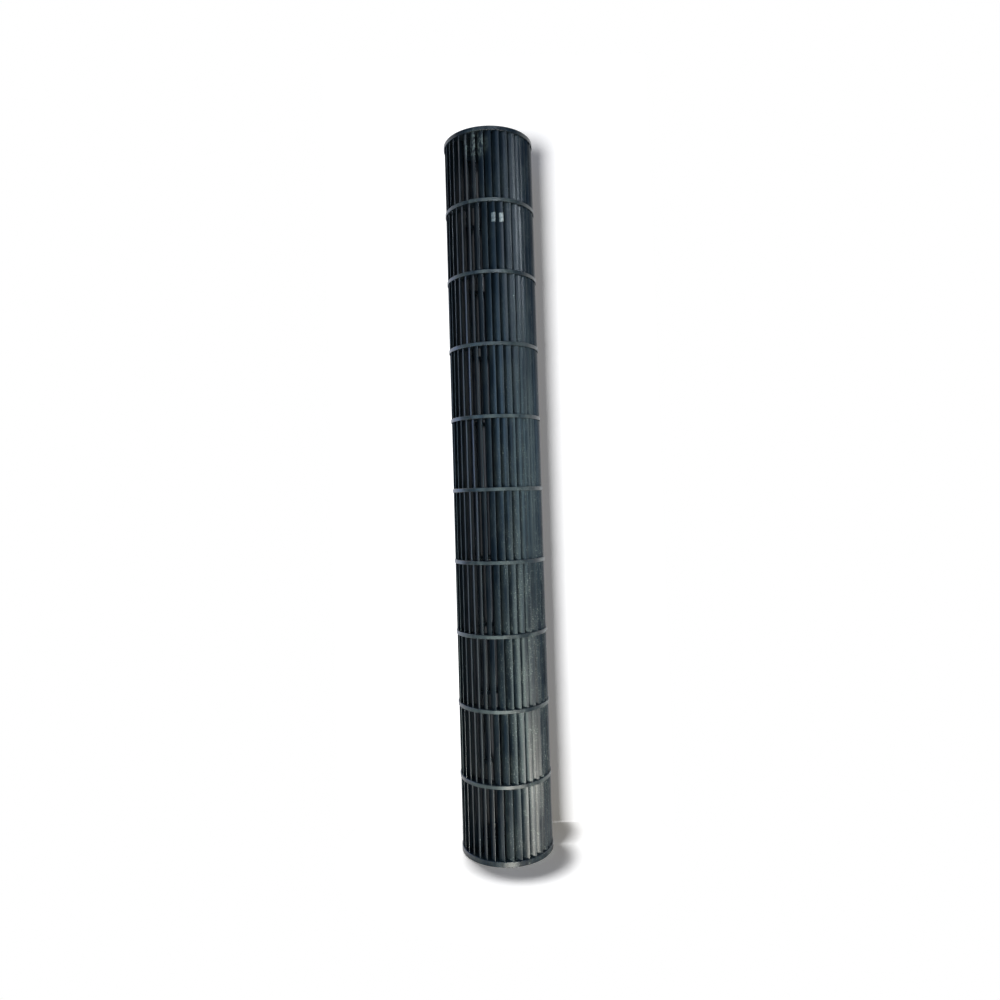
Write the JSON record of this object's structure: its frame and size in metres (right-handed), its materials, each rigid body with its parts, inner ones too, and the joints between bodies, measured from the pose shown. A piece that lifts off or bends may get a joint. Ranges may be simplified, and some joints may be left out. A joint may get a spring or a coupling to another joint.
{
  "type": "cross-flow fan wheel",
  "caption": "Long drum of forward-curved plastic blades between rings, for a room air conditioner, with a rubber-mounted motor hub below and a steel stub shaft above.",
  "frame": {"origin": "centre of the flat foot of the motor end disc, on the wheel's axis", "axes": "+Z along the wheel's axis towards the bearing end; -Y is the side with the two balance clips, which the front view shows"},
  "size_m": [0.087, 0.087, 0.696],
  "materials": {
    "fan_plastic": "moulded, semi-gloss, black glass-filled styrene plastic",
    "carrier_plastic": "moulded, matt black",
    "rubber": "moulded, matt black",
    "shaft_steel": "ground steel",
    "sleeve_metal": "turned aluminium",
    "screw_steel": "zinc plated",
    "clip_steel": "bright spring steel"
  },
  "bodies": {
    "root": {"motor_end_segment": "fan_plastic", "blade_segment_02": "fan_plastic", "blade_segment_03": "fan_plastic", "blade_segment_04": "fan_plastic", "blade_segment_05": "fan_plastic", "blade_segment_06": "fan_plastic", "blade_segment_07": "fan_plastic", "blade_segment_08": "fan_plastic", "blade_segment_09": "fan_plastic", "blade_segment_10": "fan_plastic", "bearing_end_cap": "fan_plastic", "stub_shaft": "shaft_steel", "hub_carrier_ring": "carrier_plastic", "hub_rubber": "rubber", "hub_sleeve": "sleeve_metal", "set_screw": "screw_steel", "balance_clip_1": "clip_steel", "balance_clip_2": "clip_steel"}
  },
  "joints": []
}
